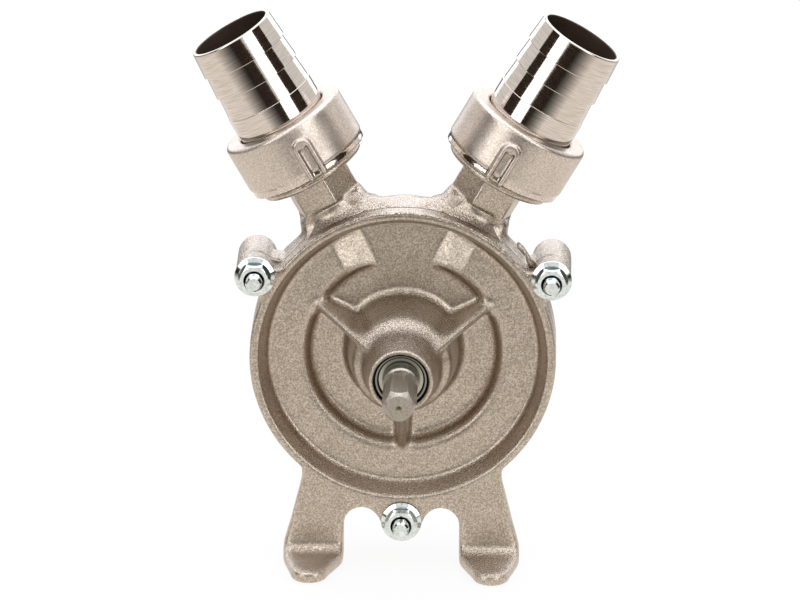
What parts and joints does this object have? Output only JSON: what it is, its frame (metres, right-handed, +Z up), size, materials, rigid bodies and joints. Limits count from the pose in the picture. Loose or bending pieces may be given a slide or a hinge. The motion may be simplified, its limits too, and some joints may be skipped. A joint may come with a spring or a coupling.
{
  "type": "drill pump",
  "caption": "Drill-driven side-channel pump: ribbed cast cover on two feet, rear housing with V ports, hexagonal drive shank, barbed hose tails under ring nuts.",
  "frame": {"origin": "on the floor under the shaft axis, midway between the shank's tip and the back of the ring nuts", "axes": "+Z up, +Y to the back along the shaft, away from the shank, +X to the right seen from the shank's side"},
  "size_m": [0.1488, 0.0979, 0.1968],
  "materials": {
    "casting": "sand-cast bronze with satin nickel plating, fine grain",
    "satin_nickel": "cast ring nut with smooth satin nickel plating",
    "bright_nickel": "turned hose tail with mirror nickel plating",
    "zinc_steel": "bright zinc-plated steel",
    "shaft_steel": "turned and milled plain steel",
    "bearing_steel": "ground bearing steel",
    "cage_steel": "pressed sheet steel",
    "spring_steel": "dark spring steel",
    "bare_bronze": "machined bare bronze",
    "seal_rubber": "black nitrile rubber",
    "gasket_rubber": "black flat rubber",
    "gasket_paper": "brown gasket paper"
  },
  "bodies": {
    "pump_body": {"front_cover": "casting", "rear_housing": "casting", "cover_gasket": "gasket_paper", "studs": "zinc_steel", "flange_nuts": "zinc_steel", "nose_bearing_outer_ring": "bearing_steel", "nose_bearing_shields": "cage_steel", "inner_bearing_outer_ring": "bearing_steel", "inner_bearing_shields": "cage_steel", "nose_snap_ring": "spring_steel", "inner_snap_ring": "spring_steel", "shaft_seal": "seal_rubber", "seal_spring": "spring_steel", "left_port_gasket": "gasket_rubber", "right_port_gasket": "gasket_rubber"},
    "rotor": {"drive_shaft": "shaft_steel", "impeller": "bare_bronze", "impeller_key": "shaft_steel", "nose_bearing_inner_ring": "bearing_steel", "inner_bearing_inner_ring": "bearing_steel"},
    "nose_cage": {"nose_bearing_balls": "bearing_steel", "nose_bearing_cage": "cage_steel"},
    "inner_cage": {"inner_bearing_balls": "bearing_steel", "inner_bearing_cage": "cage_steel"},
    "left_tail": {"left_hose_tail": "bright_nickel"},
    "left_nut": {"left_ring_nut": "satin_nickel"},
    "right_tail": {"right_hose_tail": "bright_nickel"},
    "right_nut": {"right_ring_nut": "satin_nickel"}
  },
  "joints": [
    {"name": "shaft_spin", "type": "hinge", "parent": "pump_body", "child": "rotor", "pos_m": [0, 0.0061, 0.0765], "axis": [0, 1, 0], "continuous": true},
    {"name": "nose_cage_spin", "type": "hinge", "parent": "pump_body", "child": "nose_cage", "pos_m": [0, -0.0126, 0.0765], "axis": [0, 1, 0], "continuous": true},
    {"name": "inner_cage_spin", "type": "hinge", "parent": "pump_body", "child": "inner_cage", "pos_m": [0, 0.0113, 0.0765], "axis": [0, 1, 0], "continuous": true},
    {"name": "left_tail_slide", "type": "slide", "parent": "pump_body", "child": "left_tail", "axis": [-0.5, 0, 0.866], "range_m": [0, 0.01045]},
    {"name": "left_nut_turn", "type": "hinge", "parent": "left_tail", "child": "left_nut", "pos_m": [0, 0.0261, 0.083], "axis": [-0.5, 0, 0.866], "range_deg": [0, 1620]},
    {"name": "right_tail_slide", "type": "slide", "parent": "pump_body", "child": "right_tail", "axis": [0.5, 0, 0.866], "range_m": [0, 0.01045]},
    {"name": "right_nut_turn", "type": "hinge", "parent": "right_tail", "child": "right_nut", "pos_m": [0, 0.0261, 0.083], "axis": [0.5, 0, 0.866], "range_deg": [0, 1620]}
  ],
  "couplings": [
    {"joint": "nose_cage_spin", "follows": "shaft_spin", "ratio": 0.4103},
    {"joint": "inner_cage_spin", "follows": "shaft_spin", "ratio": 0.3678},
    {"joint": "left_tail_slide", "follows": "left_nut_turn", "m_per_rad": 0.00036749},
    {"joint": "right_tail_slide", "follows": "right_nut_turn", "m_per_rad": 0.00036749}
  ]
}
